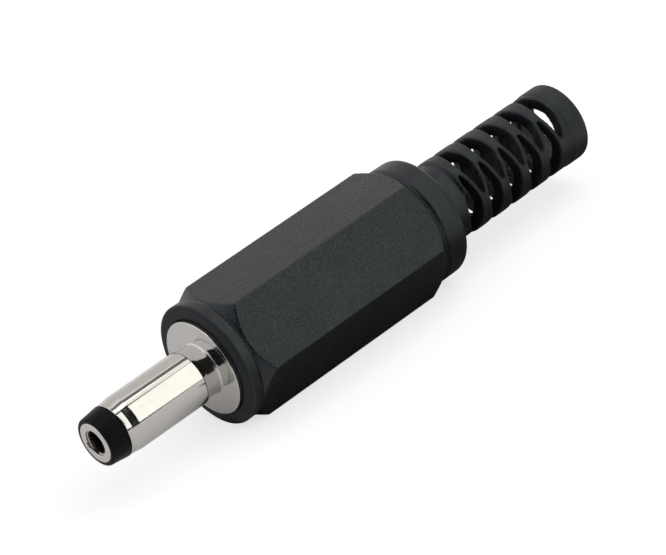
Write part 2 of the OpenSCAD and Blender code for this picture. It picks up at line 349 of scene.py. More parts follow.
def spread(tree, value, low, high, to_low=0.0, to_high=1.0, smooth=False):
    """Maps a value's range to another, clamped."""
    node = put(tree, "ShaderNodeMapRange", {"interpolation_type": "SMOOTHSTEP" if smooth else "LINEAR"},
               Value=value, From_Min=low, From_Max=high, To_Min=to_low, To_Max=to_high)
    return node.outputs[0]


def blend_colour(tree, factor, first, second):
    """Mixes two colours."""
    node = put(tree, "ShaderNodeMix", {"data_type": "RGBA"})
    for socket, value in ((0, factor), (6, first), (7, second)):
        wire(tree, node, socket, value)
    return node.outputs[2]


def rgba(value, strength=1.0):
    """A colour, made lighter or darker, as the four numbers that a socket takes."""
    return (*(part * strength for part in value), 1.0)


def effect_group(name, inputs, outputs):
    """A node group with its input and output nodes, or without them where it is already built."""
    group = bpy.data.node_groups.get(name)
    if group:
        return group, None, None
    group = bpy.data.node_groups.new(name, "ShaderNodeTree")
    group.interface.new_socket("Place", in_out="INPUT", socket_type="NodeSocketVector")
    for key, default in inputs.items():
        socket = group.interface.new_socket(key, in_out="INPUT", socket_type="NodeSocketFloat")
        socket.default_value = default
    for key in outputs:
        group.interface.new_socket(key, in_out="OUTPUT", socket_type="NodeSocketFloat")
    return group, group.nodes.new("NodeGroupInput"), group.nodes.new("NodeGroupOutput")


def moulded_grain():
    """Spark-eroded grain: fine pits over a faint coarser mottle."""
    group, given, result = effect_group(
        "moulded_grain", {"Scale": 9000.0, "Mottle Scale": 1500.0}, ("Height", "Mottle"))
    if given:
        place, scale = given.outputs["Place"], given.outputs["Scale"]
        fine = put(group, "ShaderNodeTexNoise", Vector=place, Scale=scale, Detail=3.0, Roughness=0.6)
        cells = put(group, "ShaderNodeTexVoronoi", {"feature": "SMOOTH_F1"}, Vector=place, Scale=scale,
                    Smoothness=0.6)
        mottle = put(group, "ShaderNodeTexNoise", Vector=place, Scale=given.outputs["Mottle Scale"],
                     Detail=4.0, Roughness=0.65)
        height = plus(group, fine.outputs[0], times(group, cells.outputs[0], 0.5))
        group.links.new(height, result.inputs["Height"])
        group.links.new(mottle.outputs[0], result.inputs["Mottle"])
    return group


def turning_marks():
    """Fine rings that a lathe leaves, along the axis on walls and by radius on faces."""
    group, given, result = effect_group(
        "turning_marks", {"Wall Scale": 30000.0, "Face Scale": 40000.0}, ("Height", "Streak"))
    if given:
        parts = put(group, "ShaderNodeSeparateXYZ", Vector=given.outputs["Place"])
        around = put(group, "ShaderNodeCombineXYZ", Y=parts.outputs["Y"], Z=parts.outputs["Z"])
        radius = put(group, "ShaderNodeVectorMath", {"operation": "LENGTH"})
        group.links.new(around.outputs[0], radius.inputs[0])
        wall = put(group, "ShaderNodeTexNoise", {"noise_dimensions": "1D"}, W=parts.outputs["X"],
                   Scale=given.outputs["Wall Scale"], Detail=3.0, Roughness=0.7)
        face = put(group, "ShaderNodeTexNoise", {"noise_dimensions": "1D"}, W=radius.outputs["Value"],
                   Scale=given.outputs["Face Scale"], Detail=3.0, Roughness=0.7)
        group.links.new(plus(group, wall.outputs[0], face.outputs[0]), result.inputs["Height"])
        broad = put(group, "ShaderNodeTexNoise", {"noise_dimensions": "1D"}, W=parts.outputs["X"],
                    Scale=2500.0, Detail=2.0, Roughness=0.5)
        group.links.new(broad.outputs[0], result.inputs["Streak"])
    return group


def handling_marks():
    """Faint smudges and hairlines from handling, as masks."""
    group, given, result = effect_group("handling_marks", {"Scale": 500.0}, ("Smudge", "Hairline"))
    if given:
        place, scale = given.outputs["Place"], given.outputs["Scale"]
        smudge = put(group, "ShaderNodeTexNoise", Vector=place, Scale=scale, Detail=4.0, Roughness=0.6,
                     Distortion=0.6)
        smudge_mask = spread(group, smudge.outputs[0], 0.45, 0.7, smooth=True)
        group.links.new(smudge_mask, result.inputs["Smudge"])
        stretch = put(group, "ShaderNodeMapping", Vector=place, Rotation=(0.4, 0.2, 0.7),
                      Scale=(1.0, 14.0, 9.0))
        line = put(group, "ShaderNodeTexNoise", Vector=stretch.outputs[0], Scale=scale, Detail=2.0,
                   Roughness=0.5)
        group.links.new(spread(group, line.outputs[0], 0.66, 0.72), result.inputs["Hairline"])
    return group


def object_place(tree):
    """A material's Object coordinates, from one node that its effects share."""
    node = tree.nodes.get("Place") or put(tree, "ShaderNodeTexCoord", {"name": "Place"})
    return node.outputs["Object"]


def placed(tree, group, **sockets):
    """Puts an effect group in a material, on Object coordinates."""
    node = put(tree, "ShaderNodeGroup", {"node_tree": group}, Place=object_place(tree), **sockets)
    return node.outputs


def axis_parts(tree):
    """The coordinates along the axis, X, and across it, Y and Z."""
    return put(tree, "ShaderNodeSeparateXYZ", Vector=object_place(tree)).outputs


def axis_radius(tree, parts):
    """The distance from the axis."""
    square = plus(tree, times(tree, parts["Y"], parts["Y"]), times(tree, parts["Z"], parts["Z"]))
    return calc(tree, "SQRT", square)


def hood_plastic(colours, sizes):
    """Black plastic: grained grip, streaked ribs, dull front face and thread lines in the bore."""
    streak_rise, thread_rise, bump_depth = 3.4, 12.0, 0.00003
    material, tree, shader = new_material("hood_plastic")
    parts = axis_parts(tree)
    radius = axis_radius(tree, parts)
    grain = placed(tree, moulded_grain(), Scale=7500.0, Mottle_Scale=1300.0)
    marks = placed(tree, handling_marks(), Scale=330.0)
    along_grip = times(tree, spread(tree, parts["X"], *GRIP_REAR), spread(tree, parts["X"], *GRIP_FRONT))
    on_grip = times(tree, along_grip, spread(tree, radius, *GRIP_RADIUS))
    on_ribs = spread(tree, parts["X"], *RIBS)
    on_face = spread(tree, parts["X"], *HOOD_FACE)
    in_bore = times(tree, spread(tree, radius, *BORE_RADIUS), spread(tree, parts["X"], *BORE_THREAD))

    streak_place = put(tree, "ShaderNodeMapping", Vector=object_place(tree),
                       Rotation=(-SLOT_TURN, 0, 0), Scale=(2600.0, 900.0, 220.0))
    streak = put(tree, "ShaderNodeTexNoise", Vector=streak_place.outputs[0], Scale=1.0, Detail=3.0,
                 Roughness=0.6)
    angle = calc(tree, "ARCTAN2", parts["Z"], parts["Y"])
    lead = calc(tree, "SUBTRACT", times(tree, parts["X"], 1 / sizes.thread_pitch),
                calc(tree, "DIVIDE", angle, FULL_TURN))
    thread = times(tree, calc(tree, "PINGPONG", lead, 0.5), 2.0)
    height = times(tree, grain["Height"], spread(tree, on_grip, 0.0, 1.0, 0.3, 1.0))
    height = plus(tree, height, times(tree, times(tree, streak.outputs[0], on_ribs), streak_rise))
    height = plus(tree, height, times(tree, times(tree, thread, in_bore), thread_rise))
    bump = put(tree, "ShaderNodeBump", Strength=1.0, Distance=bump_depth, Height=height)

    tone = plus(tree, times(tree, grain["Mottle"], 0.5), times(tree, marks["Smudge"], 0.25))
    base = blend_colour(tree, tone, rgba(colours.hood, 0.8), rgba(colours.hood, 1.35))
    speckle = times(tree, spread(tree, grain["Height"], 0.72, 0.98, smooth=True),
                    spread(tree, on_grip, 0.0, 1.0, 0.1, 0.4))
    base = blend_colour(tree, speckle, base, rgba(colours.hood, 2.6))

    pits = times(tree, spread(tree, grain["Height"], 0.62, 1.02), on_grip)
    rough = spread(tree, on_grip, 0.0, 1.0, 0.34, 0.20)
    for mask, share in ((grain["Mottle"], 0.12), (pits, 0.22), (on_ribs, 0.1), (on_face, 0.32)):
        rough = plus(tree, rough, times(tree, mask, share))
    rough = plus(tree, rough, times(tree, marks["Smudge"], -0.06), clamp=True)
    wire(tree, shader, "Base Color", base)
    wire(tree, shader, "Roughness", rough)
    wire(tree, shader, "Normal", bump.outputs[0])
    wire(tree, shader, "Specular IOR Level", 0.54)
    wire(tree, shader, "Specular Tint", (0.80, 0.90, 1.0, 1.0))
    return material


def plated_metal(name, tint, rough_range, mark_depth, smudge):
    """Plating over turned metal: lathe rings, faint smudges and hairlines, and painted shade that
    darkens the inside of the socket.
    """
    # Colour of the painted shade inside the socket
    socket_painted_shade = (0.02, 0.018, 0.015)
    material, tree, shader = new_material(name)
    parts = axis_parts(tree)
    rings = placed(tree, turning_marks(), Wall_Scale=26000.0, Face_Scale=34000.0)
    marks = placed(tree, handling_marks(), Scale=420.0)
    bump = put(tree, "ShaderNodeBump", Strength=1.0, Distance=mark_depth, Height=rings["Height"])
    rough = spread(tree, rings["Streak"], 0.3, 0.7, *rough_range)
    rough = plus(tree, rough, times(tree, marks["Smudge"], smudge))
    rough = plus(tree, rough, times(tree, marks["Hairline"], 0.08), clamp=True)
    tone = plus(tree, times(tree, marks["Smudge"], 0.5), times(tree, rings["Streak"], 0.5))
    base = blend_colour(tree, tone, rgba(tint), rgba(tint, 0.94))
    # Painted shade: the base colour turns near black inside the socket, where shade falls in the hollow
    socket_shade_mask = times(tree, spread(tree, axis_radius(tree, parts), *SOCKET_SHADE_RADIUS),
                      spread(tree, parts["X"], *SOCKET_SHADE_MOUTH, smooth=True))
    base = blend_colour(tree, socket_shade_mask, base, rgba(socket_painted_shade))
    wire(tree, shader, "Base Color", base)
    wire(tree, shader, "Metallic", 1.0)
    wire(tree, shader, "Roughness", rough)
    wire(tree, shader, "Normal", bump.outputs[0])
    return material


def nose_plastic(colours):
    """Satin black plastic with faint rings from the mould."""
    material, tree, shader = new_material("nose_plastic")
    rings = placed(tree, turning_marks(), Wall_Scale=9000.0, Face_Scale=9000.0)
    grain = placed(tree, moulded_grain(), Scale=9000.0, Mottle_Scale=2400.0)
    height = plus(tree, times(tree, rings["Height"], 0.8), times(tree, grain["Height"], 0.35))
    bump = put(tree, "ShaderNodeBump", Strength=1.0, Distance=0.000009, Height=height)
    base = blend_colour(tree, grain["Mottle"], rgba(colours.nose, 0.7), rgba(colours.nose, 1.4))
    wire(tree, shader, "Base Color", base)
    wire(tree, shader, "Roughness", spread(tree, grain["Mottle"], 0.3, 0.7, 0.3, 0.42))
    wire(tree, shader, "Normal", bump.outputs[0])
    wire(tree, shader, "Specular IOR Level", 0.09)
    return material


def fibre_board(colours):
    """Brown insulating board: pressed layers and short fibres."""
    material, tree, shader = new_material("fibre_board")
    grain = placed(tree, moulded_grain(), Scale=6000.0, Mottle_Scale=2600.0)
    layer = put(tree, "ShaderNodeTexNoise", {"noise_dimensions": "1D"}, W=axis_parts(tree)["X"],
                Scale=16000.0, Detail=2.0)
    tone = plus(tree, times(tree, layer.outputs[0], 0.5), times(tree, grain["Mottle"], 0.5))
    base = blend_colour(tree, tone, rgba(colours.fibre, 0.6), rgba(colours.fibre, 1.5))
    height = plus(tree, grain["Height"], layer.outputs[0])
    bump = put(tree, "ShaderNodeBump", Strength=1.0, Distance=0.000012, Height=height)
    wire(tree, shader, "Base Color", base)
    wire(tree, shader, "Roughness", spread(tree, grain["Mottle"], 0.3, 0.7, 0.55, 0.75))
    wire(tree, shader, "Normal", bump.outputs[0])
    return material


def stamped_tin(colours):
    """Satin tin on stamped brass: cloudy spangle, smudges and a warm tint where it is rubbed."""
    rubbed_brass = (0.62, 0.48, 0.25)
    material, tree, shader = new_material("stamped_tin")
    grain = placed(tree, moulded_grain(), Scale=5200.0, Mottle_Scale=1700.0)
    marks = placed(tree, handling_marks(), Scale=700.0)
    cloud = spread(tree, grain["Mottle"], 0.35, 0.65, smooth=True)
    base = blend_colour(tree, cloud, rgba(colours.tin), rgba(colours.tin, 0.8))
    base = blend_colour(tree, times(tree, marks["Hairline"], 0.6), base, rgba(rubbed_brass))
    rough = plus(tree, spread(tree, cloud, 0.0, 1.0, 0.28, 0.42), times(tree, marks["Smudge"], 0.12))
    bump = put(tree, "ShaderNodeBump", Strength=1.0, Distance=0.000006, Height=grain["Height"])
    wire(tree, shader, "Base Color", base)
    wire(tree, shader, "Metallic", 1.0)
    wire(tree, shader, "Roughness", rough)
    wire(tree, shader, "Normal", bump.outputs[0])
    return material


class PLUG_OT_hood(bpy.types.Operator):
    """Model the hood as one moulding: ring, six-sided grip, collar and slotted strain relief"""
    bl_idname = "plug.hood"
    bl_label = "Hood"

    # Stations and lengths along the axis, then radii, all in millimetres
    front = mm(HOOD_BOX[1].x)
    tail = mm(HOOD_BOX[0].x) - 0.2
    ring_l, grip_l, collar_l = 1.0, 17.6, 1.85
    x_ring = front - ring_l
    x_collar = x_ring - grip_l
    x_relief = x_collar - collar_l
    seat, chamber, funnel = -1.0, -18.3, -19.3
    first_slot, slots_end, end_ring = -23.17, -32.58, -32.9
    grip_lap, round_lap, relief_lap = 0.05, 0.3, 0.4
    chamber_r, chamber_end_r, funnel_r = 3.05, 2.4, 2.75
    seat_r, cable_r, exit_r = 3.52, 2.05, 2.25
    root_r, groove_r = 4.1, 4.2
    chamfer = math.radians(42)
    most_triangles = 170000

    def execute(self, context):
        sizes, colours = context.scene.plug_sizes, context.scene.plug_colours
        hood = self.grip(sizes)
        joined(hood, [*self.rounds(sizes), self.relief(sizes)])
        modified(hood, "REMESH", mode="VOXEL", voxel_size=mm(sizes.hood_voxel))
        modified(hood, "SMOOTH", factor=0.5, iterations=3)
        self.soften_ribs(hood)
        triangles = sum(len(face.vertices) - 2 for face in hood.data.polygons)
        ratio = min(1.0, self.most_triangles / triangles)
        modified(hood, "DECIMATE", decimate_type="COLLAPSE", ratio=ratio)
        hood.name = hood.data.name = "hood_shell"
        finished(hood, hood_plastic(colours, sizes), "hood", "hood", "hood_black", smooth_angle=60)
        return {"FINISHED"}

    def soften_ribs(self, hood):
        """Rounds the edges of the ribs and webs, which are softer than those of the grip."""
        rear, front = self.end_ring + 0.3, self.first_slot + 0.9
        edit(hood)
        select_where(hood, "VERT", lambda point: rear < point.co.x < front)
        bpy.ops.object.vertex_group_assign_new()
        bpy.ops.object.mode_set(mode="OBJECT")
        modified(hood, "SMOOTH", factor=0.5, iterations=4, vertex_group=hood.vertex_groups[-1].name)
        bpy.ops.object.vertex_group_remove(all=True)

    def grip(self, sizes):
        """A six-sided bar whose corners are chamfered like a nut's, round the chamber."""
        flat = mm(sizes.grip_flats) / 2
        corner = flat / math.cos(math.radians(30))
        foot, wide = flat - 0.2, corner + 0.5
        run = (wide - foot) / math.tan(self.chamfer)
        x_front, x_rear = self.x_ring + self.grip_lap, self.x_collar - self.grip_lap
        deselect_all()
        bpy.ops.mesh.primitive_cylinder_add(
            vertices=6, radius=corner, depth=self.grip_l, rotation=(0, math.pi / 2, 0),
            location=((self.x_ring + self.x_collar) / 2, 0, 0))
        bar = bpy.context.object
        bar.name = "grip_bar"
        bpy.ops.object.transform_apply(location=True, rotation=True, scale=True)
        turn = turned("grip_turning", [
            (x_front, foot, 0), (self.x_ring, foot, 0), (self.x_ring - run, wide, 0),
            (self.x_collar + run, wide, 0), (self.x_collar, foot, 0), (x_rear, foot, 0),
            (x_rear, self.chamber_end_r, 0), (self.chamber, self.chamber_r, 0),
            (x_front, self.chamber_r, 0)])
        return combined(bar, turn, "INTERSECT")

    def rounds(self, sizes):
        """The ring in front of the grip and the collar behind it."""
        ring, collar = mm(sizes.ring_d) / 2, mm(sizes.collar_d) / 2
        ring_end, collar_start = self.x_ring - self.round_lap, self.x_collar + self.round_lap
        yield turned("front_ring", [
            (self.front, ring, 0.2), (self.x_ring, ring - 0.02, 0.1),
            (self.x_ring - 0.04, self.groove_r, 0), (ring_end, self.root_r, 0),
            (ring_end, self.chamber_r, 0), (self.seat, self.chamber_r, 0),
            (self.seat, self.seat_r, 0.05), (self.front, self.seat_r, 0.02)])
        yield turned("rear_collar", [
            (collar_start, self.root_r, 0), (self.x_collar + 0.2, self.groove_r, 0),
            (self.x_collar - 0.06, collar, 0.14), (self.x_relief, collar - 0.03, 0.4),
            (self.x_relief, self.cable_r, 0), (self.funnel, self.cable_r, 0),
            (collar_start, self.funnel_r, 0)])

    def relief(self, sizes):
        """The tapered neck and ribs, cut by wedge slots from two sides in turn."""
        neck, end = mm(sizes.relief_neck_d) / 2, mm(sizes.end_ring_d) / 2
        rib_front, rib_rear = mm(sizes.rib_front_d) / 2, mm(sizes.rib_rear_d) / 2
        x_start = self.x_relief + self.relief_lap
        x_ribs = self.first_slot + mm(sizes.slot_pitch) / 2 - mm(sizes.slot_w) / 2
        tube = turned("relief_tube", [
            (x_start, neck, 0), (x_ribs, neck, 0.1), (x_ribs, rib_front, 0.12),
            (self.end_ring, rib_rear, 0), (self.end_ring, end, 0.04), (self.tail, end, 0.25),
            (self.tail, self.exit_r, 0.2), (self.end_ring, self.exit_r, 0),
            (self.end_ring, self.cable_r, 0), (x_start, self.cable_r, 0)])
        return combined(tube, self.slots(sizes), "DIFFERENCE")

    def slots(self, sizes):
        """Ten waisted wedges with slim tips past the axis, five from each side, half a pitch apart."""
        width, pitch, waist = mm(sizes.slot_w), mm(sizes.slot_pitch), mm(sizes.slot_waist)
        reach, shoulder, tip, tip_w, tip_taper = 4.0, 1.1, -0.9, 0.2, 0.4
        rise, flare, scallop, widening = 2.2, 2.82, 0.46, 8.5
        count, near = 10, 0.01
        deselect_all()
        bpy.ops.mesh.primitive_cube_add(size=1, location=(0, (reach + shoulder) / 2, 0),
                                        scale=(width, reach - shoulder, 2 * reach))
        wedge = bpy.context.object
        wedge.name = "slot_wedge"
        bpy.ops.object.transform_apply(location=True, rotation=True, scale=True)
        edit(wedge)
        select_where(wedge, "FACE", lambda face: face.normal.y < -0.9)
        for step, taper in ((tip - shoulder, tip_w / width), (-tip_w / 2, tip_taper)):
            bpy.ops.mesh.extrude_region_move(TRANSFORM_OT_translate={"value": (0, step, 0)})
            bpy.ops.transform.resize(value=(taper, 1, 1))
        for z in (-rise, 0, rise):
            bpy.ops.mesh.select_all(action="SELECT")
            bpy.ops.mesh.bisect(plane_co=(0, 0, z), plane_no=(0, 0, 1))
        select_where(wedge, "VERT", lambda point: abs(point.co.z) < near)
        bpy.ops.transform.resize(value=(waist / width, 1, 1), center_override=(0, 0, 0))
        edge = flare + scallop
        for y in (flare, edge):
            bpy.ops.mesh.select_all(action="SELECT")
            bpy.ops.mesh.bisect(plane_co=(0, y, 0), plane_no=(0, 1, 0))
        select_where(wedge, "VERT", lambda point: abs(point.co.z) < near and point.co.y > edge - near)
        bpy.ops.transform.resize(value=(widening, 1, 1), center_override=(0, 0, 0))
        bpy.ops.object.mode_set(mode="OBJECT")
        wedges = [wedge]
        for i in range(1, count):
            copy = wedge.copy()
            copy.data = wedge.data.copy()
            bpy.context.scene.collection.objects.link(copy)
            copy.location.x = self.first_slot - i * pitch / 2
            copy.rotation_euler.x = math.pi * (i % 2)
            wedges.append(copy)
        wedge.location.x = self.first_slot
        cutter = joined(wedge, wedges[1:])
        bpy.ops.object.transform_apply(location=True, rotation=True, scale=True)
        edit(cutter)
        bpy.ops.mesh.bisect(plane_co=(self.slots_end, 0, 0), plane_no=(1, 0, 0),
                            use_fill=True, clear_inner=True)
        close_mesh()
        bpy.ops.object.mode_set(mode="OBJECT")
        cutter.rotation_euler.x = SLOT_TURN
        bpy.ops.object.transform_apply(location=True, rotation=True, scale=True)
        return cutter


class PLUG_OT_sleeve(bpy.types.Operator):
    """Model the plated sleeve: lip, barrel, neck, flange and a cut thread on the shank"""
    bl_idname = "plug.sleeve"
    bl_label = "Barrel sleeve"

    # Stations and lengths along the axis, then radii, all in millimetres
    front = mm(SLEEVE_BOX[1].x)
    rear = mm(SLEEVE_BOX[0].x)
    lip_l, slope_end, shoulder_l, neck_l = 0.45, 1.05, 0.4, 0.92
    flange_t, undercut_l, shank_lap = 1.0, 0.4, 0.2
    bore, undercut, end_chamfer = 1.7, 0.35, 0.3

    def execute(self, context):
        sizes, colours = context.scene.plug_sizes, context.scene.plug_colours
        barrel, lip, neck = mm(sizes.barrel_d) / 2, mm(sizes.lip_d) / 2, mm(sizes.neck_d) / 2
        flange, shank = mm(sizes.flange_d) / 2, mm(sizes.shank_d) / 2
        root, root_end = shank - self.undercut, -self.flange_t - self.undercut_l
        sleeve = turned("sleeve_plated", [
            (self.front, lip - 0.01, 0.07), (self.front - self.lip_l, lip, 0.3),
            (self.front - self.slope_end, barrel, 0.6), (self.neck_l + self.shoulder_l, barrel, 0.6),
            (self.neck_l, neck + 0.05, 0.04), (self.neck_l, neck, 0.01), (0, neck, 0.17),
            (0, flange, 0.06), (-self.flange_t, flange, 0.06), (-self.flange_t, root, 0.05),
            (root_end, root, 0), (root_end, self.bore, 0), (self.front, self.bore, 0.04)])
        combined(sleeve, self.thread(sizes, shank), "UNION")
        metal = plated_metal("nickel_plating", colours.nickel, rough_range=(0.05, 0.10),
                             mark_depth=0.0000004, smudge=0.02)
        finished(sleeve, metal, "plug", "barrel_sleeve", "nickel_plate")
        return {"FINISHED"}

    def thread(self, sizes, shank):
        """A screwed bar, trimmed to the shank's chamfered form."""
        pitch, depth = mm(sizes.thread_pitch), mm(sizes.thread_depth)
        start, end = self.rear - 2 * pitch, -self.flange_t + 0.3
        steps = TURN_STEPS // 2
        deselect_all()
        bpy.ops.mesh.primitive_plane_add(size=1)
        bar = bpy.context.object
        bar.name = "thread_bar"
        edit(bar)
        bpy.ops.mesh.merge(type="CENTER")
        bpy.ops.transform.translate(value=(start, 0, shank - depth))
        for share, rise in ((0.12, 0), (0.32, depth), (0.12, 0), (0.44, -depth)):
            bpy.ops.mesh.extrude_region_move(TRANSFORM_OT_translate={"value": (share * pitch, 0, rise)})
        bpy.ops.object.mode_set(mode="OBJECT")
        modified(bar, "SCREW", axis="X", angle=FULL_TURN, screw_offset=pitch,
                 iterations=math.ceil((end - start) / pitch), steps=steps, render_steps=steps,
                 use_merge_vertices=True, merge_threshold=2 * MERGE_GAP)
        edit(bar)
        bpy.ops.mesh.remove_doubles(threshold=2 * MERGE_GAP)
        bpy.ops.mesh.fill_holes(sides=0)
        close_mesh()
        bpy.ops.object.mode_set(mode="OBJECT")
        x_front = -self.flange_t + self.shank_lap
        form = turned("shank_form", [
            (x_front, shank, 0), (self.rear + self.end_chamfer, shank, 0),
            (self.rear, shank - self.end_chamfer, 0), (self.rear, self.bore, 0.03),
            (x_front, self.bore, 0)])
        return combined(form, bar, "INTERSECT")


class PLUG_OT_nose(bpy.types.Operator):
    """Model the black nose with its insulating tube"""
    bl_idname = "plug.nose"
    bl_label = "Nose insulator"

    # Radii and depths in millimetres
    tube_r, tube_bore, rim_gap, rim_depth = 1.68, 1.28, 0.02, 0.4

    def execute(self, context):
        sizes, colours = context.scene.plug_sizes, context.scene.plug_colours
        tip, sleeve = mm(TIP_BOX[1].x), mm(SLEEVE_BOX[1].x)
        rear = mm(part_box("nose_insulator")[0].x)
        front_r, rear_r = mm(sizes.nose_front_d) / 2, mm(sizes.nose_rear_d) / 2
        seat_r = mm(sizes.rim_d) / 2 + self.rim_gap
        face, seat = tip - 0.01, tip - self.rim_depth
        nose = turned("nose_moulding", [
            (face, seat_r, 0.03), (face, front_r, 0.2), (tip - 0.75, front_r + 0.075, 0.6),
            (sleeve + 0.16, rear_r - 0.01, 0.04), (sleeve + 0.11, rear_r - 0.05, 0.02),
            (sleeve + 0.06, rear_r, 0.03), (sleeve, rear_r, 0.02), (sleeve, self.tube_r, 0),
            (rear, self.tube_r, 0.04), (rear, self.tube_bore, 0.04), (seat, self.tube_bore, 0),
            (seat, seat_r, 0)])
        finished(nose, nose_plastic(colours), "plug", "nose_insulator", "nose_black")
        return {"FINISHED"}


class PLUG_OT_contact(bpy.types.Operator):
    """Model the turned centre contact and the rolled spring tube inside it"""
    bl_idname = "plug.contact"
    bl_label = "Centre contact"

    # Lengths along the axis and radii in millimetres, then the directions of the notch and the slit
    rim_t, mouth_l, tube_l, pocket_l, rivet_t = 0.4, 0.1, 9.4, 9.0, 0.5
    tube_r, pocket_r, stem_r, rivet_r, spring_wall = 1.26, 1.02, 0.8, 1.3, 0.15
    notch_size = (0.3, 0.26, 0.42)
    notch_aim, slit_aim = math.radians(205), math.radians(120)

    def execute(self, context):
        sizes, colours = context.scene.plug_sizes, context.scene.plug_colours
        tip, tail = mm(TIP_BOX[1].x), mm(TIP_BOX[0].x)
        self.contact(sizes, colours, tip, tail)
        self.spring(sizes, colours, tip)
        return {"FINISHED"}

    def contact(self, sizes, colours, tip, tail):
        """The rim, socket tube, stem and rivet in one turning, with the slit's notch in the mouth."""
        rim, mouth = mm(sizes.rim_d) / 2, mm(sizes.mouth_d) / 2
        rim_end, mouth_end = tip - self.rim_t, tip - self.mouth_l
        tube_end, pocket_end, rivet = tip - self.tube_l, tip - self.pocket_l, tail + self.rivet_t
        contact = turned("contact_turned", [
            (tip, mouth, 0.045), (tip, rim, 0.06), (rim_end, rim, 0), (rim_end, self.tube_r, 0),
            (tube_end, self.tube_r, 0.1), (tube_end, self.stem_r, 0.05), (rivet, self.stem_r, 0),
            (rivet, self.rivet_r, 0.12), (tail, 1.1, 0.3), (tail, 0.35, 0.1), (tail + 0.12, 0.0, 0),
            (pocket_end, 0.0, 0), (pocket_end, self.pocket_r, 0), (mouth_end, self.pocket_r, 0),
            (mouth_end, mouth, 0.02)])
        deselect_all()
        bpy.ops.mesh.primitive_cube_add(
            size=1, rotation=(self.notch_aim, 0, 0), scale=self.notch_size,
            location=(tip - 0.05, mouth * math.cos(self.notch_aim), mouth * math.sin(self.notch_aim)))
        combined(contact, bpy.context.object, "DIFFERENCE")
        metal = plated_metal("contact_plating", colours.contact, rough_range=(0.26, 0.36),
                             mark_depth=0.0000007, smudge=0.06)
        finished(contact, metal, "plug", "centre_contact", "contact_plate")

    def spring(self, sizes, colours, tip):
        """The tube that lines the socket, rolled up to its slit."""
        inner = mm(sizes.socket_d) / 2
        outer = inner + self.spring_wall
        gap = mm(sizes.slit_w) / outer
        front, rear = tip - 0.12, tip - self.pocket_l
        spring = turned("spring_rolled", [
            (front, inner, 0.05), (front, outer, 0.04), (rear, outer, 0.04), (rear, inner, 0.04)],
            turn=FULL_TURN - gap, start=self.slit_aim + gap / 2)
        metal = plated_metal("spring_bronze", colours.spring, rough_range=(0.2, 0.34),
                             mark_depth=0.000001, smudge=0.1)
        finished(spring, metal, "plug", "contact_spring", "spring_metal")


class PLUG_OT_terminals(bpy.types.Operator):
    """Finish the rear insulator and the two stamped terminals with worn edges"""
    bl_idname = "plug.terminals"
    bl_label = "Insulator and terminals"

    def execute(self, context):
        sizes, colours = context.scene.plug_sizes, context.scene.plug_colours
        tin = stamped_tin(colours)
        for node, name, material, slot in (
                ("rear_insulator", "insulator_washer", fibre_board(colours), "fibre"),
                ("centre_terminal", "centre_lug", tin, "terminal_tin"),
                ("ground_terminal", "ground_lug", tin, "terminal_tin")):
            piece = copy_of_node(node, name)
            modified(piece, "BEVEL", width=mm(sizes.sheet_edge), segments=3, limit_method="ANGLE",
                     angle_limit=math.radians(40), harden_normals=False)
            finished(piece, material, "plug", node, slot)
        return {"FINISHED"}


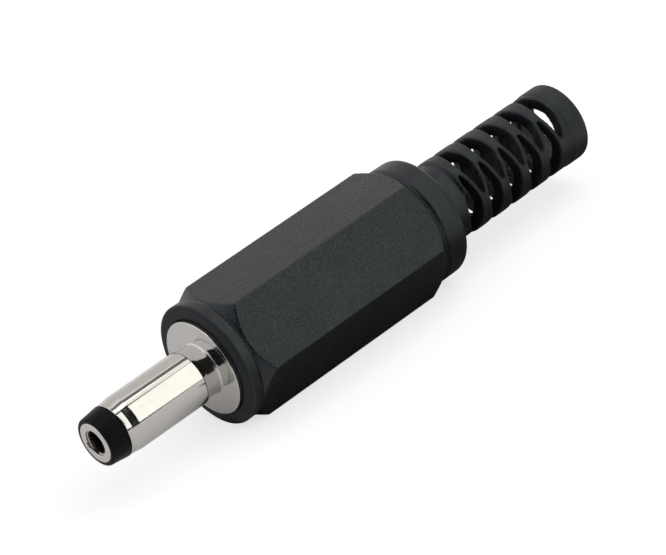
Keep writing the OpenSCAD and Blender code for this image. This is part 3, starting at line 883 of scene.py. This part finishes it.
class PLUG_OT_stage(bpy.types.Operator):
    """Set up the pale floor, world, soft boxes, reflection cards and camera"""
    bl_idname = "plug.stage"
    bl_label = "Stage"

    # The lamps' distance and the cards' height over the floor in metres, then directions from the plug
    lamp_distance, lift = 0.6, 0.0001
    side, overhead = Vector((-0.5, 0.655, 0.566)), Vector((-0.5, 0.0, 0.866))
    front, edge = Vector((0.64, 0.63, 0.44)), Vector((-0.5, -0.246, 0.83))

    def execute(self, context):
        scene = context.scene
        self.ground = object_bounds()[0].z
        scene.view_settings.view_transform = "Standard"
        self.floor()
        self.world(scene)
        self.soft_box("side_box", self.side, (0.30, 0.78), 1.16, (1.0, 0.985, 0.90))
        self.soft_box("overhead_box", self.overhead, (0.6, 0.16), 0.4, (1.0, 0.95, 0.88))
        self.cards()
        self.camera(scene)
        return {"FINISHED"}

    def cards(self):
        """Sheets that plating and plastic reflect, as they would a studio's walls and table; the dark
        sheet under the hood is painted shade for the table in the plug's shadow.
        """
        self.card("dark_card", self.side * 0.8, (1.5, 1.5), 0.004)
        self.card("front_card", self.front * 0.34, (0.46, 0.46), 0.01)
        self.card("floor_card", Vector((0, 0, self.ground + self.lift)), (1.2, 1.2), 0.92,
                  Matrix(), glow=0.05)
        # Painted shade: a dark sheet under the hood, which reflections see where the table lies in the
        # plug's shadow
        self.card("painted_shade_card", Vector((-0.0243, 0.0001, self.ground + 2 * self.lift)), (0.045, 0.0209),
                  0.14, Matrix.Rotation(math.radians(24.7), 4, "Z"))
        self.card("back_card", Vector((-0.3, -0.432, 0.288)), (0.6, 0.5), 0.3, glow=0.58)
        self.card("edge_card", self.edge * 0.62, (0.6, 0.12), 0.05, self.facing(self.edge), glow=0.16)

    def floor(self):
        """A wide floor that looks white and still takes the shadow."""
        deselect_all()
        bpy.ops.mesh.primitive_grid_add(x_subdivisions=8, y_subdivisions=8, size=6.0,
                                        location=(0, 0, self.ground))
        floor = bpy.context.object
        floor.name = "floor"
        bpy.ops.object.transform_apply(location=True, rotation=True, scale=True)
        material = bpy.data.materials.new("floor_white")
        material.use_nodes = True
        tree = material.node_tree
        tree.nodes.clear()
        mottle = put(tree, "ShaderNodeTexNoise", Scale=40.0, Detail=2.0)
        tint = blend_colour(tree, mottle.outputs[0], rgba((0.52,) * 3), rgba((0.54,) * 3))
        diffuse = put(tree, "ShaderNodeBsdfDiffuse", Color=tint)
        glow = put(tree, "ShaderNodeEmission", Strength=self.seen(tree, 0.68))
        both = put(tree, "ShaderNodeAddShader")
        tree.links.new(diffuse.outputs[0], both.inputs[0])
        tree.links.new(glow.outputs[0], both.inputs[1])
        output = put(tree, "ShaderNodeOutputMaterial")
        tree.links.new(both.outputs[0], output.inputs["Surface"])
        floor.data.materials.append(material)
        floor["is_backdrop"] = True

    def seen(self, tree, strength):
        """A strength that holds for camera, glossy and transmission rays only."""
        path = put(tree, "ShaderNodeLightPath")
        total = plus(tree, path.outputs["Is Camera Ray"], path.outputs["Is Glossy Ray"])
        total = plus(tree, total, path.outputs["Is Transmission Ray"], clamp=True)
        return times(tree, total, strength)

    def world(self, scene):
        """White to the eye and in reflections, at a softer level as light."""
        world = bpy.data.worlds.new("studio")
        scene.world = world
        world.use_nodes = True
        tree = world.node_tree
        background = tree.nodes["Background"]
        wire(tree, background, "Color", (1.0, 0.97, 0.985, 1.0))
        wire(tree, background, "Strength", plus(tree, self.seen(tree, 0.5), 0.5))

    def soft_box(self, name, direction, size, watts, tint):
        """A rectangular soft light that faces the plug."""
        light = bpy.data.lights.new(name, "AREA")
        light.shape = "RECTANGLE"
        light.size, light.size_y = size
        light.energy = watts
        light.color = tint
        obj = bpy.data.objects.new(name, light)
        bpy.context.scene.collection.objects.link(obj)
        place = direction.normalized() * self.lamp_distance
        obj.matrix_world = Matrix.Translation(place) @ self.facing(direction)

    def facing(self, direction):
        """The turn of a sheet that faces the plug from a direction, square to the plug's axis."""
        direction = direction.normalized()
        across = Vector((1, 0, 0))
        across = (across - direction * across.dot(direction)).normalized()
        along = direction.cross(across)
        return Matrix((across, along, direction)).transposed().to_4x4()

    def card(self, name, place, size, tone, turn=None, glow=0.0):
        """A plain card that only reflections see; it faces the plug where no turn is given."""
        deselect_all()
        bpy.ops.mesh.primitive_grid_add(x_subdivisions=2, y_subdivisions=2, size=1)
        card = bpy.context.object
        card.name = name
        turn = turn or place.normalized().to_track_quat("Z", "Y").to_matrix().to_4x4()
        card.matrix_world = Matrix.Translation(place) @ turn @ Matrix.Diagonal((*size, 1, 1))
        bpy.ops.object.transform_apply(location=True, rotation=True, scale=True)
        material = bpy.data.materials.new(name)
        material.use_nodes = True
        tree = material.node_tree
        shader = tree.nodes["Principled BSDF"]
        wire(tree, shader, "Base Color", rgba((tone,) * 3))
        wire(tree, shader, "Roughness", 0.9)
        wire(tree, shader, "Emission Color", (1.0, 0.95, 0.88, 1.0))
        wire(tree, shader, "Emission Strength", glow)
        card.data.materials.append(material)
        card.visible_camera = card.visible_diffuse = card.visible_shadow = False
        card.visible_transmission = card.visible_volume_scatter = False
        card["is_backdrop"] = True

    def camera(self, scene):
        """The photograph's viewpoint: a long lens, down along the plug from its tip."""
        focal_px, picture_px = 3500, 666
        place = (0.106092, 0.170692, 0.112860)
        right, up = (-0.7106, 0.6575, -0.2504), (-0.4949, -0.2141, 0.8421)
        back = (0.5001, 0.7224, 0.4776)
        camera = bpy.data.cameras.new("camera")
        camera.sensor_width = 36.0
        camera.lens = camera.sensor_width * focal_px / picture_px
        camera.clip_start = 0.01
        obj = bpy.data.objects.new("camera", camera)
        scene.collection.objects.link(obj)
        turn = Matrix((right, up, back)).transposed().to_4x4()
        obj.matrix_world = Matrix.Translation(place) @ turn
        scene.camera = obj


class PLUG_PT_panel(bpy.types.Panel):
    """Lists the plug's pieces, sizes and colours"""
    bl_idname = "PLUG_PT_panel"
    bl_label = "DC power plug"
    bl_space_type = "VIEW_3D"
    bl_region_type = "UI"
    bl_category = "Plug"

    def draw(self, context):
        for operator in PIECES:
            self.layout.operator(operator.bl_idname)
        for group in (context.scene.plug_sizes, context.scene.plug_colours):
            box = self.layout.box()
            for key in group.bl_rna.properties.keys():
                if key not in {"rna_type", "name"}:
                    box.prop(group, key)


PIECES = (PLUG_OT_hood, PLUG_OT_sleeve, PLUG_OT_nose, PLUG_OT_contact, PLUG_OT_terminals, PLUG_OT_stage)
CLASSES = (PlugSizes, PlugColours, *PIECES, PLUG_PT_panel)


def register():
    for cls in CLASSES:
        bpy.utils.register_class(cls)
    bpy.types.Scene.plug_sizes = bpy.props.PointerProperty(type=PlugSizes)
    bpy.types.Scene.plug_colours = bpy.props.PointerProperty(type=PlugColours)


def unregister():
    del bpy.types.Scene.plug_colours
    del bpy.types.Scene.plug_sizes
    for cls in reversed(CLASSES):
        bpy.utils.unregister_class(cls)


def main():
    register()
    bpy.ops.plug.hood()
    bpy.ops.plug.sleeve()
    bpy.ops.plug.nose()
    bpy.ops.plug.contact()
    bpy.ops.plug.terminals()
    bpy.ops.plug.stage()


if __name__ == "__main__":
    main()
